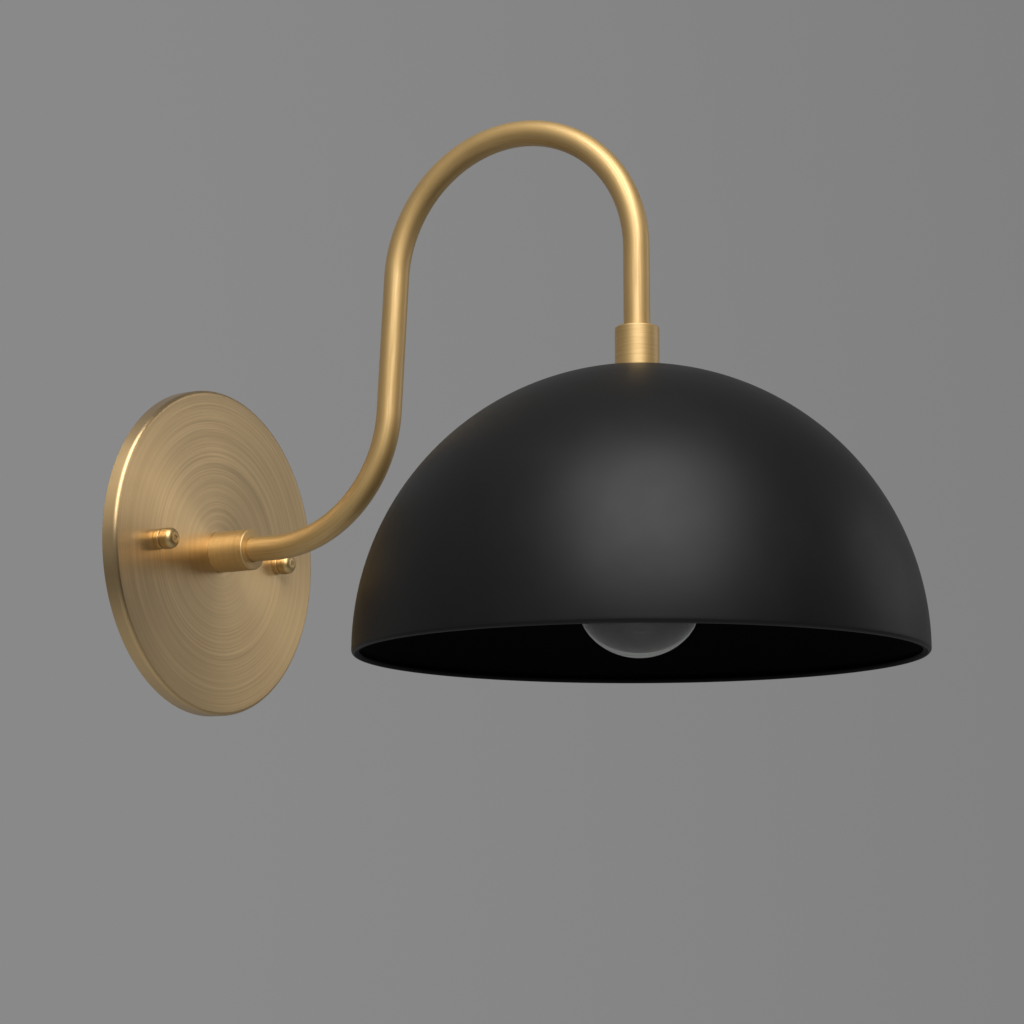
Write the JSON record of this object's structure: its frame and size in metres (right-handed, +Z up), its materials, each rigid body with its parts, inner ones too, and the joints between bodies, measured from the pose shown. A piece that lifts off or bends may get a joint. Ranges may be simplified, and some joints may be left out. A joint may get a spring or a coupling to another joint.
{
  "type": "wall sconce",
  "caption": "Gooseneck wall sconce: round brushed brass backplate, bent brass tube arm and a matte black dome shade over a clear screw-in bulb.",
  "frame": {"origin": "centre of the backplate on the wall plane, which is also the centre of the crossbar slots", "axes": "+Z up, +X to the right as seen from the room, -Y out of the wall into the room, so +Y points into the wall"},
  "size_m": [0.2, 0.3018, 0.2161],
  "materials": {
    "antique_brass": "satin, fine circular and lengthwise brushing",
    "matte_black_paint": "matte powder coat",
    "zinc_steel": "bright zinc plated",
    "raw_brass": "machined, uncoated",
    "green_steel": "green dyed plating",
    "black_phenolic": "moulded, satin",
    "porcelain": "unglazed",
    "white_nylon": "moulded",
    "black_insulation": "smooth",
    "white_insulation": "smooth",
    "tinned_copper": "stranded and tinned",
    "clear_glass": "clear, thin blown",
    "nickel_cap": "rolled thread, satin",
    "basing_cement": "matte cement",
    "black_glass": "black vitrite",
    "solder": "dull solder",
    "filament_wire": "drawn wire"
  },
  "bodies": {
    "root": {"backplate": "antique_brass", "plate_collar": "antique_brass", "plate_nipple": "raw_brass", "plate_lock_washer": "zinc_steel", "plate_lock_nut": "zinc_steel", "nipple_bushing": "white_nylon", "crossbar": "zinc_steel", "ground_screw": "green_steel", "left_stud": "zinc_steel", "left_stud_nut": "zinc_steel", "left_ball_nut": "antique_brass", "right_stud": "zinc_steel", "right_stud_nut": "zinc_steel", "right_ball_nut": "antique_brass", "gooseneck_arm": "antique_brass", "live_lead": "black_insulation", "live_lead_end": "tinned_copper", "neutral_lead": "white_insulation", "neutral_lead_end": "tinned_copper", "shade_collar": "antique_brass", "shade_nipple": "raw_brass", "shade_lock_washer": "zinc_steel", "shade_lock_nut": "zinc_steel", "dome_shade": "matte_black_paint", "socket_housing": "black_phenolic", "socket_set_screw": "zinc_steel", "contact_block": "porcelain", "socket_shell": "raw_brass", "centre_contact": "raw_brass"},
    "bulb_travel": {"bulb_tip_contact": "solder"},
    "bulb": {"bulb_envelope": "clear_glass", "bulb_screw_base": "nickel_cap", "bulb_cement": "basing_cement", "bulb_base_insulator": "black_glass", "bulb_stem": "clear_glass", "left_filament_post": "filament_wire", "right_filament_post": "filament_wire", "bulb_filament": "filament_wire"}
  },
  "joints": [
    {"name": "bulb_travel_down", "type": "slide", "parent": "root", "child": "bulb_travel", "axis": [0, 0, -1], "range_m": [0, 0.0181]},
    {"name": "bulb_unscrew", "type": "hinge", "parent": "bulb_travel", "child": "bulb", "pos_m": [0, -0.18809, 0], "axis": [0, 0, -1], "range_deg": [0, 1800]}
  ],
  "couplings": [
    {"joint": "bulb_unscrew", "follows": "bulb_travel_down", "rad_per_m": 1731.6}
  ]
}
